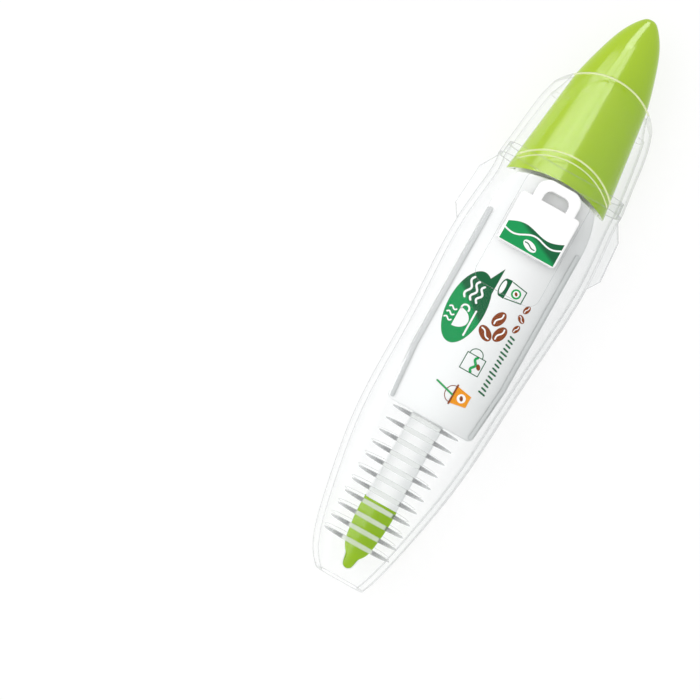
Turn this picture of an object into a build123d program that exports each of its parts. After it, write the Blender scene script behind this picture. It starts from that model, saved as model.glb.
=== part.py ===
from build123d import *
from math import acos, atan2, cos, hypot, pi, sin
import os

# Pen-shaped correction tape roller, in millimetres.
# +X runs from the nose to the rear push button, +Z comes out of the printed face, and "left" is the +Y side.
# Here x counts from the nose opening and z from the pen's centre line. The last lines of this script place
# each piece in the part's own frame: the pen lies on its back on z = 0, with its middle above the origin.

# Case: half widths and half depths of its rounded sections
WALL = 1.2
HALF_DEPTH = 8.0
LAP_START = 84.5
LAP_LENGTH = 2.5
LAP_STEP = 0.6
LAP_GAP = 0.02
NOSE_SECTION = (0, 4.9, 5.0, 4.9, 2.8)
CASE_SECTIONS = [  # x, reach to the left, reach to the right, half depth, corner radius
    NOSE_SECTION,
    (2.2, 6.8, 5.9, 5.3, 3.2),
    (8, 9.2, 7.5, 6.2, 3.8),
    (22, 12.0, 10.3, 7.5, 4.3),
    (38, 13.3, 11.9, HALF_DEPTH, 4.4),
    (56, 13.5, 13.1, HALF_DEPTH, 4.6),
    (70, 13.8, 13.8, HALF_DEPTH, 5.0),
    (LAP_START, 13.0, 13.0, HALF_DEPTH, 5.0),
]
LAP_SECTIONS = [CASE_SECTIONS[-1], (LAP_START + LAP_LENGTH, 12.75, 12.75, 7.95, 5.0)]
COLLAR_SECTIONS = LAP_SECTIONS + [
    (93, 12.0, 12.0, 7.7, 4.9),
    (99, 11.0, 11.0, 7.2, 4.7),
    (103, 9.6, 9.6, 6.5, 4.4),
    (107.5, 8.3, 8.3, 5.7, 4.1),
]
COLLAR_LIP = [(99, 9.7, 9.7, 6.0, 4.3), (103, 8.25, 8.25, 5.5, 3.9), (107.5, 7.35, 7.35, 4.95, 3.7)]
RIM_MIDDLE = 106.5
RIM_RADIUS = 12.6
REST_FLAT = 7.85  # the flat that the pen lies on, below the centre line
OUTSIDE = 20.0  # a reach that is clear of the whole case
SEAM_CLEARANCE = 0.15

# Grip ribs on both faces of the nose
RIB_COUNT = 11
RIB_FIRST = 7.6
RIB_PITCH = 2.59
RIB_WIDTH = 0.9
RIB_REACH = 6.9
RIB_HEIGHT = 0.45
RIB_MIDDLE_Y = 0.4

# Wings beside the release button
WING_HALF_THICK = 1.6
WING_OUTLINE = [(68.6, 13.0), (72.4, 15.5), (80.4, 14.9), (84.3, 12.6), (84.3, 12.0), (68.6, 12.6)]

# Sliding carriage
TRAVEL = 8.0
CARTRIDGE_FRONT = 34.2
CARTRIDGE_REAR = 84.4
FRONT_HALF = 8.9
FRONT_CORNER = 1.2
CARTRIDGE_HALF = 9.9
SHOULDER_X = 74.0
SHOULDER_ARC = (79.0, 9.4)
REAR_CORNER = (82.6, 8.2)
REAR_ARC = (83.95, 4.1)
FLOOR_LOW = -5.8
FLOOR_HIGH = -4.6
COVER_LOW = 4.0
COVER_HIGH = 5.2
TRAY_WALL = 0.9
TRAY_CHAMFER = 0.7
COVER_LIP = 0.7
COVER_EDGE = 0.35
FIT = 0.05
PLAY = 0.03

# Runners of the case that the cartridge's floor slides on
RUNNER_Y = 6.5
RUNNER_X = (44.0, 82.0)

# Ridges along the sides of the printed cover
RIDGE_HEIGHT = 0.5
RIDGE_FRONT = 34.8
RIDGE_BEND = 45.5
RIDGE_REAR = 74.3
RIDGE_WIDTH = 0.6
RIDGE_OUTER = 9.5
RIDGE_FRONT_OUTER = 8.6

# Tape and reels
TAPE_HALF = 2.5
TAPE_THICK = 0.12
SUPPLY_X = 62.5
SUPPLY_ROLL = 7.5
TAKEUP_ROLL = 3.6
POST_RADIUS = 1.7
FLANGE_LOW = 2.7
FLANGE_HIGH = 3.0
SUPPLY_CORE = 3.2
TAKEUP_CORE = 3.0
SUPPLY_FLANGE = 7.9
TAKEUP_FLANGE = 5.6

# Gears
MODULE = 0.5
SUPPLY_TEETH = 30
IDLER_TEETH = 12
TAKEUP_TEETH = 14
GEAR_LOW = -4.4
GEAR_HIGH = -3.4
IDLER_X = SUPPLY_X - MODULE * (SUPPLY_TEETH + IDLER_TEETH) / 2
TAKEUP_X = IDLER_X - MODULE * (IDLER_TEETH + TAKEUP_TEETH) / 2
IDLER_POST = 0.8

# Tape guides
GUIDE_RADIUS = 1.5
GUIDE_POST = 0.7
TURN_RADIUS = GUIDE_RADIUS + TAPE_THICK / 2 + FIT
OUTER_RUN = SUPPLY_ROLL + TAPE_THICK / 2 + FIT
TURN_X = 40.0
STEM_RUN = 2.05
STEM_ENTRY = 37.0

# Stem and transfer head
STEM_FRONT = 16.2
STEM_REAR = 36.0
STEM_HALF = 3.2
STEM_HALF_DEPTH = 3.5
SLOT_INNER = 1.5
SLOT_OUTER = 2.6
SLOT_HALF_DEPTH = 2.7
TIP_X = 3.6
TIP_RADIUS = 1.0
WEDGE_X = 8.0
TONGUE_LENGTH = 4.0
CHEEK_DEPTH = 3.3
CHEEK_HALF = 3.3
CHEEK_SHOULDER = (8.0, 2.7)
CHEEK_NECK = (4.8, 1.0)
CHEEK_CROWN = 0.4
NUB_RADIUS = 0.88
TONGUE_HALF = 1.15
TONGUE_DEPTH = 2.0

# Rear push button
SOCKET_X = 91.5
SOCKET_LENGTH = 2.0
SOCKET_HALF = 8.4
BUTTON_EDGE = 84.8
BUTTON_EDGE_RADIUS = 25.8
BUTTON_BASE = (81.0, 10.6)
BUTTON_SIDE = (103.0, 7.8)
BUTTON_NOSE = [(107.5, 6.85), (112.0, 5.5), (116.4, 3.7), (119.2, 1.7)]
BUTTON_TIP = 120.0
BUTTON_WALL = 1.1
BUTTON_FLATTEN = 0.64

# Return spring, in line with the pen, and the case lug that it pushes on
SPRING_Z = -1.7
LUG_X = 72.6
LUG_LENGTH = 2.0
LUG_HALF = 1.4
SPRING_RADIUS = 1.5
SPRING_WIRE = 0.2
TUBE_RADIUS = 2.5
TUBE_BORE = 1.9
TUBE_END = 94.2
TUBE_FLOOR = 93.2

# Release button, shaped as a mug
PRESS_TRAVEL = 0.8
MUG_X = 74.85
MUG_Y = -0.3
HANDLE_Y = -0.7
MUG_LENGTH = 10.1
MUG_WIDTH = 12.2
MUG_LOW = 6.25
MUG_HIGH = 8.45
HANDLE_REACH = 4.2
HANDLE_WIDTH = 8.8
HANDLE_BAND = 1.9
MUG_STEM = 5.0
MUG_FLANGE = 0.8
MUG_FLANGE_LOW = 2.6
MUG_FLANGE_HIGH = 3.2
MUG_CORNER = 0.7
HANDLE_CORNER = 2.3
WINDOW_GAP = 0.5
WINDOW_CORNER = 2.2
DECK_HIGH = 0.8
DECK_THICK = 0.5
RELEASE_WIRE = 0.12

# Spring that presses the supply reel onto its clutch washer
CLUTCH_WIRE = 0.11
WASHER_RADIUS = 5.5


def across(x, left, right, depth, corner, inset):
    """A rounded section across the pen, inset from the case's surface."""
    with BuildSketch(Plane.YZ.offset(x)) as section:
        with Locations(((left - right) / 2, 0)):
            RectangleRounded(left + right - 2 * inset, 2 * (depth - inset), corner - inset)
    return section.sketch


def skin(sections, inset, mode=Mode.ADD):
    """Loft a smooth body through sections across the pen."""
    loft([across(*section, inset) for section in sections], mode=mode)


def block(x, y, z, mode=Mode.ADD):
    """Add a box between two x, two y and two z values."""
    with BuildSketch(Plane.XY.offset(z[0])) as footprint:
        with Locations(((x[0] + x[1]) / 2, (y[0] + y[1]) / 2)):
            Rectangle(x[1] - x[0], y[1] - y[0])
    extrude(footprint.sketch, amount=z[1] - z[0], mode=mode)


def disc(x, y, radius, low, high, bore=0, mode=Mode.ADD):
    """Add a disc, post or ring that stands along Z, or cut a round hole."""
    with BuildSketch(Plane.XY.offset(low)) as circle:
        with Locations((x, y)):
            Circle(radius)
            if bore:
                Circle(bore, mode=Mode.SUBTRACT)
    extrude(circle.sketch, amount=high - low, mode=mode)


def rod(x_low, x_high, radius, mode=Mode.ADD):
    """Add or cut a rod along X, in line with the return spring."""
    with BuildSketch(Plane.YZ.offset(x_low)) as circle:
        with Locations((0, SPRING_Z)):
            Circle(radius)
    extrude(circle.sketch, amount=x_high - x_low, mode=mode)


def cartridge_plan(low, high, inset=0, mode=Mode.ADD):
    """Extrude the cartridge's outline, seen from above, between two heights."""
    with BuildSketch(Plane.XY.offset(low)) as plan:
        with BuildLine():
            Line((CARTRIDGE_FRONT, 0), (CARTRIDGE_FRONT, FRONT_HALF))
            Line((CARTRIDGE_FRONT, FRONT_HALF), (TAKEUP_X, CARTRIDGE_HALF))
            Line((TAKEUP_X, CARTRIDGE_HALF), (SHOULDER_X, CARTRIDGE_HALF))
            ThreePointArc((SHOULDER_X, CARTRIDGE_HALF), SHOULDER_ARC, REAR_CORNER)
            ThreePointArc(REAR_CORNER, REAR_ARC, (CARTRIDGE_REAR, 0))
            mirror(about=Plane.XZ)
        make_face()
        front_corners = plan.vertices().group_by(Axis.X)[0].sort_by(Axis.Y)
        fillet([front_corners[0], front_corners[-1]], FRONT_CORNER)
        if inset:
            offset(amount=-inset, mode=Mode.REPLACE)
    extrude(plan.sketch, amount=high - low, mode=mode)


def gear(x, teeth, low, high, phase=0):
    """Add a spur gear on the centre line, with a tooth towards +X or, at half a pitch of phase, a gap."""
    pitch_radius = MODULE * teeth / 2
    tooth_pitch = pi * MODULE
    root = pitch_radius - 1.15 * MODULE
    tip = pitch_radius + 0.9 * MODULE
    flank = [(root - 0.1, 0.29), (pitch_radius, 0.23), (tip, 0.12)]
    upper = [(radius, half * tooth_pitch) for radius, half in flank]
    lower = [(radius, -half) for radius, half in reversed(upper)]
    with BuildSketch(Plane.XY.offset(low)) as wheel:
        with Locations((x, 0)):
            Circle(root)
            with PolarLocations(0, teeth, start_angle=phase * 360 / teeth):
                Polygon(*upper, *lower, align=None)
    extrude(wheel.sketch, amount=high - low)


def touch_point(point, centre, radius, side):
    """Where a line from point touches a circle; side is 1 for its left and -1 for its right."""
    away_x, away_y = point[0] - centre[0], point[1] - centre[1]
    angle = atan2(away_y, away_x) + side * acos(radius / hypot(away_x, away_y))
    return (centre[0] + radius * cos(angle), centre[1] + radius * sin(angle))


def turn_centre(before, corner, after, radius):
    """Centre of the arc of this radius that rounds a corner of a path."""
    inward_x = inward_y = 0
    for end in (before, after):
        length = hypot(end[0] - corner[0], end[1] - corner[1])
        inward_x += (end[0] - corner[0]) / length
        inward_y += (end[1] - corner[1]) / length
    spread = hypot(inward_x, inward_y)
    half_angle_sine = (1 - (spread / 2) ** 2) ** 0.5
    reach = radius / half_angle_sine
    return (corner[0] + reach * inward_x / spread, corner[1] + reach * inward_y / spread)


def coil(base, direction, length, turns, radius, wire):
    """Sweep a round wire along a helix from base in a direction."""
    height = length - 2 * wire
    with BuildLine() as path:
        helix = Helix(pitch=height / turns, height=height, radius=radius, center=base, direction=direction)
    with BuildSketch(Plane(origin=helix @ 0, z_dir=helix % 0)) as section:
        Circle(wire)
    sweep(section.sketch, path=path.line)


# The tape's path, seen from above: off the supply roll, round a guide, through the stem, round the tip
# and back to the take-up roll
tip_track = TIP_RADIUS + TAPE_THICK / 2 + 0.02
tip_centre = (TIP_X, 0)
out_points = [
    (SUPPLY_X, OUTER_RUN),
    (TURN_X, OUTER_RUN),
    (STEM_ENTRY, STEM_RUN),
    (WEDGE_X, STEM_RUN),
]
out_points.append(touch_point(out_points[-1], tip_centre, tip_track, 1))
back_points = [
    (TURN_X, -OUTER_RUN),
    (STEM_ENTRY, -STEM_RUN),
    (WEDGE_X, -STEM_RUN),
]
back_points.append(touch_point(back_points[-1], tip_centre, tip_track, -1))
takeup_track = TAKEUP_ROLL + TAPE_THICK / 2 + FIT
back_points.insert(0, touch_point(back_points[0], (TAKEUP_X, 0), takeup_track, 1))
SUPPLY_GUIDE = turn_centre(out_points[0], out_points[1], out_points[2], TURN_RADIUS)
TAKEUP_GUIDE = turn_centre(back_points[0], back_points[1], back_points[2], TURN_RADIUS)

# Ribs of the grip, used by both halves of the case
rib_places = [(RIB_FIRST + RIB_PITCH * step, RIB_MIDDLE_Y) for step in range(RIB_COUNT)]
with BuildPart() as grip_ribs:
    skin(CASE_SECTIONS, -RIB_HEIGHT)
    with BuildSketch():
        with Locations(*rib_places):
            Ellipse(RIB_WIDTH / 2, RIB_REACH)
    extrude(amount=2 * HALF_DEPTH, both=True, mode=Mode.INTERSECT)
    skin(CASE_SECTIONS, WALL / 2, Mode.SUBTRACT)


def hollow_case():
    """Both halves of the case in one; each half then keeps its own side."""
    skin(CASE_SECTIONS, 0)
    skin(LAP_SECTIONS, LAP_STEP)
    with BuildSketch(Plane.XY.offset(-WING_HALF_THICK)) as wings:
        with BuildLine():
            Polyline(*WING_OUTLINE, close=True)
        make_face()
        mirror(about=Plane.XZ)
    extrude(wings.sketch, amount=2 * WING_HALF_THICK)
    skin(CASE_SECTIONS, WALL, Mode.SUBTRACT)
    skin(LAP_SECTIONS, WALL, Mode.SUBTRACT)
    add(grip_ribs.part)


def rest_cut():
    """Cut the flat that the pen lies on."""
    block((0, BUTTON_TIP), (-OUTSIDE, OUTSIDE), (-OUTSIDE, -REST_FLAT), Mode.SUBTRACT)


# Top half of the case, with the window that the release button stands in
with BuildPart() as top_shell:
    hollow_case()
    split(bisect_by=Plane.XY, keep=Keep.TOP)
    window = (MUG_X - MUG_LENGTH / 2 - TRAVEL - WINDOW_GAP, LAP_START - SEAM_CLEARANCE)
    with BuildSketch(Plane.XY.offset(HALF_DEPTH - 2 * WALL)):
        with Locations(((window[0] + window[1]) / 2, MUG_Y)):
            RectangleRounded(window[1] - window[0], MUG_WIDTH + 2 * WINDOW_GAP, WINDOW_CORNER)
    extrude(amount=3 * WALL, mode=Mode.SUBTRACT)
top_shell.part.label = "top_shell"

# Bottom half of the case, with the spring lug, two runners and the flat that the pen lies on
with BuildPart() as bottom_shell:
    hollow_case()
    split(bisect_by=Plane.XY, keep=Keep.BOTTOM)
    block((LUG_X, LUG_X + LUG_LENGTH), (-LUG_HALF, LUG_HALF), (-HALF_DEPTH + WALL / 2, SPRING_Z + 1.4))
    for side in (-1, 1):
        runner_y = (side * RUNNER_Y - 0.5, side * RUNNER_Y + 0.5)
        block(RUNNER_X, runner_y, (-HALF_DEPTH + WALL / 2, FLOOR_LOW - 0.1))
    rest_cut()
bottom_shell.part.label = "bottom_shell"

# Collar behind the case: it laps over both halves and holds them together
with BuildPart() as rear_collar:
    skin(COLLAR_SECTIONS, 0)
    skin(COLLAR_SECTIONS[:4], WALL, Mode.SUBTRACT)
    skin(COLLAR_LIP, 0, Mode.SUBTRACT)
    skin(LAP_SECTIONS, LAP_STEP - LAP_GAP, Mode.SUBTRACT)
    with BuildSketch(Plane.XY.offset(-HALF_DEPTH)):
        with Locations((110, 0)):
            Rectangle(20, 40)
        with Locations((RIM_MIDDLE - RIM_RADIUS, 0)):
            Circle(RIM_RADIUS, mode=Mode.SUBTRACT)
    extrude(amount=2 * HALF_DEPTH, mode=Mode.SUBTRACT)
    rest_cut()
rear_collar.part.label = "rear_collar"

# Tray of the cartridge: floor, walls, posts, deck for the release spring and tube for the return spring
with BuildPart() as cartridge_base:
    cartridge_plan(FLOOR_LOW, COVER_LOW)
    cartridge_plan(FLOOR_HIGH, COVER_LOW, TRAY_WALL, Mode.SUBTRACT)
    chamfer(cartridge_base.edges().group_by(Axis.Z)[0], TRAY_CHAMFER)
    for post_x in (SUPPLY_X, TAKEUP_X):
        disc(post_x, 0, POST_RADIUS, FLOOR_HIGH, COVER_LOW - 0.1)
    disc(IDLER_X, 0, IDLER_POST, FLOOR_HIGH, GEAR_HIGH + 0.1)
    for guide in (SUPPLY_GUIDE, TAKEUP_GUIDE):
        disc(*guide, GUIDE_POST, FLOOR_HIGH, TAPE_HALF + 0.3)
        disc(*guide, GUIDE_POST + 0.5, FLOOR_HIGH, -TAPE_HALF - 0.15)
    for side in (-1, 1):
        rib_y = (side * 2.9 - 0.4, side * 2.9 + 0.4)
        block((72.4, 83.4), rib_y, (FLOOR_HIGH, DECK_HIGH))
    block((72.4, 79.2), (-2.9, 2.9), (DECK_HIGH - DECK_THICK, DECK_HIGH))
    front_gap = (-STEM_HALF - FIT, STEM_HALF + FIT)
    block((33, 35.5), front_gap, (-STEM_HALF_DEPTH - FIT, COVER_LOW + 1), Mode.SUBTRACT)
    slot_x = (LUG_X - 0.2, LUG_X + LUG_LENGTH + TRAVEL + 0.2)
    block(slot_x, (-LUG_HALF - 0.2, LUG_HALF + 0.2), (FLOOR_LOW - 1, FLOOR_HIGH + 0.1), Mode.SUBTRACT)
    rod(CARTRIDGE_REAR - TRAY_WALL / 2, TUBE_END, TUBE_RADIUS)
    rod(SHOULDER_X, TUBE_FLOOR, TUBE_BORE, Mode.SUBTRACT)
cartridge_base.part.label = "cartridge_base"

# Printed cover of the cartridge, with a locating lip, side ridges and an opening for the button's stem
with BuildPart() as cartridge_cover:
    cartridge_plan(COVER_LOW, COVER_HIGH)
    fillet(cartridge_cover.edges().group_by(Axis.Z)[-1], COVER_EDGE)
    cartridge_plan(COVER_LOW - COVER_LIP, COVER_LOW, TRAY_WALL + FIT)
    cartridge_plan(COVER_LOW - COVER_LIP, COVER_LOW, 2 * TRAY_WALL, Mode.SUBTRACT)
    opening = MUG_STEM / 2 + 0.15
    block((MUG_X - opening, MUG_X + opening), (MUG_Y - opening, MUG_Y + opening), (3, 6), Mode.SUBTRACT)
    ridge_outer = [(RIDGE_FRONT, RIDGE_FRONT_OUTER), (RIDGE_BEND, RIDGE_OUTER), (RIDGE_REAR, RIDGE_OUTER)]
    ridge_inner = [(x, y - RIDGE_WIDTH) for x, y in reversed(ridge_outer)]
    with BuildSketch(Plane.XY.offset(COVER_HIGH - FIT)):
        with BuildLine():
            Polyline(*ridge_outer, *ridge_inner, close=True)
        make_face()
        mirror(about=Plane.XZ)
    extrude(amount=RIDGE_HEIGHT + FIT)
    lip_gap = (-STEM_HALF - 0.3, STEM_HALF + 0.3)
    lip_x = (CARTRIDGE_FRONT + 0.1, STEM_REAR + 0.2)
    block(lip_x, lip_gap, (COVER_LOW - COVER_LIP, COVER_LOW), Mode.SUBTRACT)
cartridge_cover.part.label = "cartridge_cover"

# Stem that carries the transfer head, with a slot on each side for the tape
with BuildPart() as head_stem:
    block((STEM_FRONT, STEM_REAR), (-STEM_HALF, STEM_HALF), (-STEM_HALF_DEPTH, STEM_HALF_DEPTH))
    chamfer(head_stem.edges().filter_by(Axis.X), 0.3)
    flange_x = (CARTRIDGE_FRONT + TRAY_WALL + FIT, STEM_REAR)
    block(flange_x, (-STEM_HALF - 1.2, STEM_HALF + 1.2), (-STEM_HALF_DEPTH, STEM_HALF_DEPTH - 0.3))
    for side in (-1, 1):
        slot_y = sorted((side * SLOT_INNER, side * SLOT_OUTER))
        block((0, TAKEUP_X), slot_y, (-SLOT_HALF_DEPTH, SLOT_HALF_DEPTH), Mode.SUBTRACT)
    pocket_half = TONGUE_HALF + FIT
    pocket_depth = (-TONGUE_DEPTH - FIT, TONGUE_DEPTH + FIT)
    block((0, STEM_FRONT + TONGUE_LENGTH + 0.1), (-pocket_half, pocket_half), pocket_depth, Mode.SUBTRACT)
head_stem.part.label = "head_stem"


def wedge(shoulder, wedge_half, tip_radius, half_depth):
    """Extrude the head's core: parallel sides, then flanks that run onto a rounded tip."""
    flank = (WEDGE_X, wedge_half)
    on_tip = touch_point(flank, tip_centre, tip_radius, 1)
    with BuildSketch(Plane.XY.offset(-half_depth)) as profile:
        with BuildLine():
            Polyline((shoulder, 0), (shoulder, wedge_half), flank, on_tip)
            ThreePointArc(on_tip, (TIP_X - tip_radius, 0), (on_tip[0], -on_tip[1]))
            Polyline((on_tip[0], -on_tip[1]), (WEDGE_X, -wedge_half), (shoulder, -wedge_half), (shoulder, 0))
        make_face()
    extrude(profile.sketch, amount=2 * half_depth)


# Transfer head: a core that the tape runs round, between two cheeks that keep the tape in place
core_half = STEM_RUN - TAPE_THICK / 2 - 0.02
core_depth = TAPE_HALF + 0.1
nub_middle = (TIP_X - NUB_RADIUS * cos(pi / 4), NUB_RADIUS * sin(pi / 4))
with BuildPart() as transfer_head:
    wedge(STEM_FRONT, core_half, TIP_RADIUS, core_depth)
    for low in (-CHEEK_DEPTH, core_depth):
        with BuildSketch(Plane.XY.offset(low)) as cheek:
            with BuildLine():
                Line((STEM_FRONT, 0), (STEM_FRONT, CHEEK_HALF))
                ThreePointArc((STEM_FRONT, CHEEK_HALF), (12, CHEEK_HALF - 0.1), CHEEK_SHOULDER)
                ThreePointArc(CHEEK_SHOULDER, (5.9, 2.0), CHEEK_NECK)
                Line(CHEEK_NECK, (TIP_X, NUB_RADIUS))
                ThreePointArc((TIP_X, NUB_RADIUS), nub_middle, (TIP_X - NUB_RADIUS, 0))
                mirror(about=Plane.XZ)
            make_face()
        extrude(amount=CHEEK_DEPTH - core_depth)
    with BuildSketch(Plane.YZ) as crown:
        with BuildLine():
            for side in (-1, 1):
                edge_z = side * (CHEEK_DEPTH - CHEEK_CROWN)
                ThreePointArc((-CHEEK_HALF, edge_z), (0, side * CHEEK_DEPTH), (CHEEK_HALF, edge_z))
                Line((side * CHEEK_HALF, edge_z), (side * CHEEK_HALF, -edge_z))
        make_face()
    extrude(crown.sketch, amount=STEM_FRONT, mode=Mode.INTERSECT)
    tongue_x = (STEM_FRONT, STEM_FRONT + TONGUE_LENGTH)
    block(tongue_x, (-TONGUE_HALF, TONGUE_HALF), (-TONGUE_DEPTH, TONGUE_DEPTH))
transfer_head.part.label = "transfer_head"

# Carrier tape: one ribbon from the supply roll round the tip of the head and back to the take-up roll
with BuildPart() as tape_strand:
    with BuildSketch(Plane.XY.offset(-TAPE_HALF)):
        with BuildLine():
            FilletPolyline(*out_points, radius=TURN_RADIUS)
            ThreePointArc(out_points[-1], (TIP_X - tip_track, 0), back_points[-1])
            FilletPolyline(*reversed(back_points), radius=TURN_RADIUS)
            offset(amount=TAPE_THICK / 2, side=Side.BOTH)
        make_face()
    extrude(amount=2 * TAPE_HALF)
tape_strand.part.label = "tape_strand"


def button_body(base, side, tip, inset):
    """Revolve the push button's rounded cone, inset from its surface."""
    with BuildSketch(Plane.XY) as half:
        with BuildLine():
            Line((base[0], 0), (base[0], base[1] - inset))
            Line((base[0], base[1] - inset), (side[0], side[1] - inset))
            Spline(
                (side[0], side[1] - inset),
                *((x, y - inset) for x, y in BUTTON_NOSE),
                (tip - inset, 0),
                tangents=[(1, (side[1] - base[1]) / (side[0] - base[0])), (0, -1)],
            )
            Line((tip - inset, 0), (base[0], 0))
        make_face()
    return revolve(half.sketch, axis=Axis.X, mode=Mode.PRIVATE)


def flattened(body):
    """The same body, flattened along Z like the case."""
    return scale(body, by=(1, 1, BUTTON_FLATTEN), mode=Mode.PRIVATE)


# Rear push button: a hollow flattened cone with a socket that holds the cartridge's tube
with BuildPart() as push_button:
    add(flattened(button_body(BUTTON_BASE, BUTTON_SIDE, BUTTON_TIP, 0)))
    add(flattened(button_body(BUTTON_BASE, BUTTON_SIDE, BUTTON_TIP, BUTTON_WALL)), mode=Mode.SUBTRACT)
    with BuildSketch(Plane.YZ.offset(SOCKET_X)):
        Ellipse(SOCKET_HALF, SOCKET_HALF * BUTTON_FLATTEN)
    extrude(amount=SOCKET_LENGTH)
    rod(SOCKET_X - 1, SOCKET_X + SOCKET_LENGTH + 1, TUBE_RADIUS + FIT, Mode.SUBTRACT)
    disc(BUTTON_EDGE - BUTTON_EDGE_RADIUS, 0, BUTTON_EDGE_RADIUS, -OUTSIDE, OUTSIDE, mode=Mode.SUBTRACT)
push_button.part.label = "push_button"

# Release button, shaped as a mug, with a stem that goes through the cover and a flange that keeps it in
with BuildPart() as release_button:
    mug_rear = MUG_X + MUG_LENGTH / 2
    with BuildSketch(Plane.XY.offset(MUG_LOW)):
        with Locations((mug_rear, HANDLE_Y)):
            RectangleRounded(2 * HANDLE_REACH, HANDLE_WIDTH, HANDLE_CORNER)
            opening = (2 * (HANDLE_REACH - HANDLE_BAND), HANDLE_WIDTH - 2 * HANDLE_BAND)
            RectangleRounded(*opening, HANDLE_CORNER - 0.9, mode=Mode.SUBTRACT)
        with Locations((MUG_X, MUG_Y)):
            RectangleRounded(MUG_LENGTH, MUG_WIDTH, MUG_CORNER)
    extrude(amount=MUG_HIGH - MUG_LOW)
    fillet(release_button.edges().group_by(Axis.Z)[-1], COVER_EDGE)
    for half, high in ((MUG_STEM / 2, MUG_LOW), (MUG_STEM / 2 + MUG_FLANGE, MUG_FLANGE_HIGH)):
        block((MUG_X - half, MUG_X + half), (MUG_Y - half, MUG_Y + half), (MUG_FLANGE_LOW, high))
release_button.part.label = "release_button"

# Spring under the release button
with BuildPart() as release_spring:
    release_base = (MUG_X, MUG_Y, DECK_HIGH + RELEASE_WIRE + PLAY)
    coil(release_base, (0, 0, 1), MUG_FLANGE_LOW - DECK_HIGH - 2 * PLAY, 3.5, 1.6, RELEASE_WIRE)
release_spring.part.label = "release_spring"

# Return spring, between the lug of the case and the floor of the cartridge's tube
with BuildPart() as return_spring:
    start = LUG_X + LUG_LENGTH + PLAY
    return_base = (start + SPRING_WIRE, 0, SPRING_Z)
    coil(return_base, (1, 0, 0), TUBE_FLOOR - PLAY - start, 11, SPRING_RADIUS, SPRING_WIRE)
return_spring.part.label = "return_spring"

# Supply gear, driven through the clutch washer by the supply reel
with BuildPart() as supply_gear:
    gear(SUPPLY_X, SUPPLY_TEETH, GEAR_LOW, GEAR_HIGH)
    disc(SUPPLY_X, 0, POST_RADIUS + FIT, GEAR_LOW - 1, GEAR_HIGH + 1, mode=Mode.SUBTRACT)
supply_gear.part.label = "supply_gear"

with BuildPart() as clutch_washer:
    disc(SUPPLY_X, 0, WASHER_RADIUS, GEAR_HIGH + PLAY, -FLANGE_HIGH - PLAY, POST_RADIUS + FIT)
clutch_washer.part.label = "clutch_washer"

# Idler gear between the two reels
with BuildPart() as idler_gear:
    gear(IDLER_X, IDLER_TEETH, GEAR_LOW, GEAR_HIGH, 0.5)
    disc(IDLER_X, 0, IDLER_POST + FIT, GEAR_LOW - 1, GEAR_HIGH + 1, mode=Mode.SUBTRACT)
idler_gear.part.label = "idler_gear"

# Supply reel and the full roll of tape on it
with BuildPart() as supply_reel:
    disc(SUPPLY_X, 0, SUPPLY_CORE, -FLANGE_HIGH, FLANGE_HIGH)
    disc(SUPPLY_X, 0, SUPPLY_FLANGE, -FLANGE_HIGH, -FLANGE_LOW)
    disc(SUPPLY_X, 0, SUPPLY_FLANGE, FLANGE_LOW, FLANGE_HIGH)
    disc(SUPPLY_X, 0, POST_RADIUS + FIT, -5, 5, mode=Mode.SUBTRACT)
supply_reel.part.label = "supply_reel"

with BuildPart() as supply_tape:
    disc(SUPPLY_X, 0, SUPPLY_ROLL, -TAPE_HALF, TAPE_HALF, SUPPLY_CORE + 0.01)
supply_tape.part.label = "supply_tape"

# Light coil spring that presses the supply reel down onto its clutch
with BuildPart() as clutch_spring:
    clutch_base = (SUPPLY_X, 0, FLANGE_HIGH + CLUTCH_WIRE + PLAY)
    coil(clutch_base, (0, 0, 1), COVER_LOW - FLANGE_HIGH - 2 * PLAY, 2.5, 2.6, CLUTCH_WIRE)
clutch_spring.part.label = "clutch_spring"

# Take-up reel, in one piece with its gear, and the first turns of used backing on it
with BuildPart() as takeup_reel:
    gear(TAKEUP_X, TAKEUP_TEETH, GEAR_LOW, GEAR_HIGH)
    disc(TAKEUP_X, 0, TAKEUP_CORE, GEAR_HIGH, FLANGE_HIGH)
    disc(TAKEUP_X, 0, TAKEUP_FLANGE, -FLANGE_HIGH, -FLANGE_LOW)
    disc(TAKEUP_X, 0, TAKEUP_FLANGE, FLANGE_LOW, FLANGE_HIGH)
    disc(TAKEUP_X, 0, POST_RADIUS + FIT, -5, 5, mode=Mode.SUBTRACT)
takeup_reel.part.label = "takeup_reel"

with BuildPart() as takeup_tape:
    disc(TAKEUP_X, 0, TAKEUP_ROLL, -TAPE_HALF, TAPE_HALF, TAKEUP_CORE + 0.01)
takeup_tape.part.label = "takeup_tape"

# Guide rollers that turn the tape between the reels and the stem
with BuildPart() as supply_guide:
    disc(*SUPPLY_GUIDE, GUIDE_RADIUS, -TAPE_HALF - 0.1, TAPE_HALF + 0.1, GUIDE_POST + FIT)
supply_guide.part.label = "supply_guide"

with BuildPart() as takeup_guide:
    disc(*TAKEUP_GUIDE, GUIDE_RADIUS, -TAPE_HALF - 0.1, TAPE_HALF + 0.1, GUIDE_POST + FIT)
takeup_guide.part.label = "takeup_guide"

# Place the pieces in the part's own frame and write them
lying = Location((-BUTTON_TIP / 2, 0, REST_FLAT))
os.makedirs("parts", exist_ok=True)
for piece in (
    top_shell, bottom_shell, rear_collar, cartridge_base, cartridge_cover, head_stem, transfer_head,
    tape_strand, push_button, release_button, release_spring, return_spring, supply_gear, clutch_washer,
    idler_gear, supply_reel, supply_tape, clutch_spring, takeup_reel, takeup_tape, supply_guide, takeup_guide,
):
    name = piece.part.label
    placed = piece.part.moved(lying)
    placed.label = name
    export_step(placed, f"parts/{name}.step")
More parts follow.
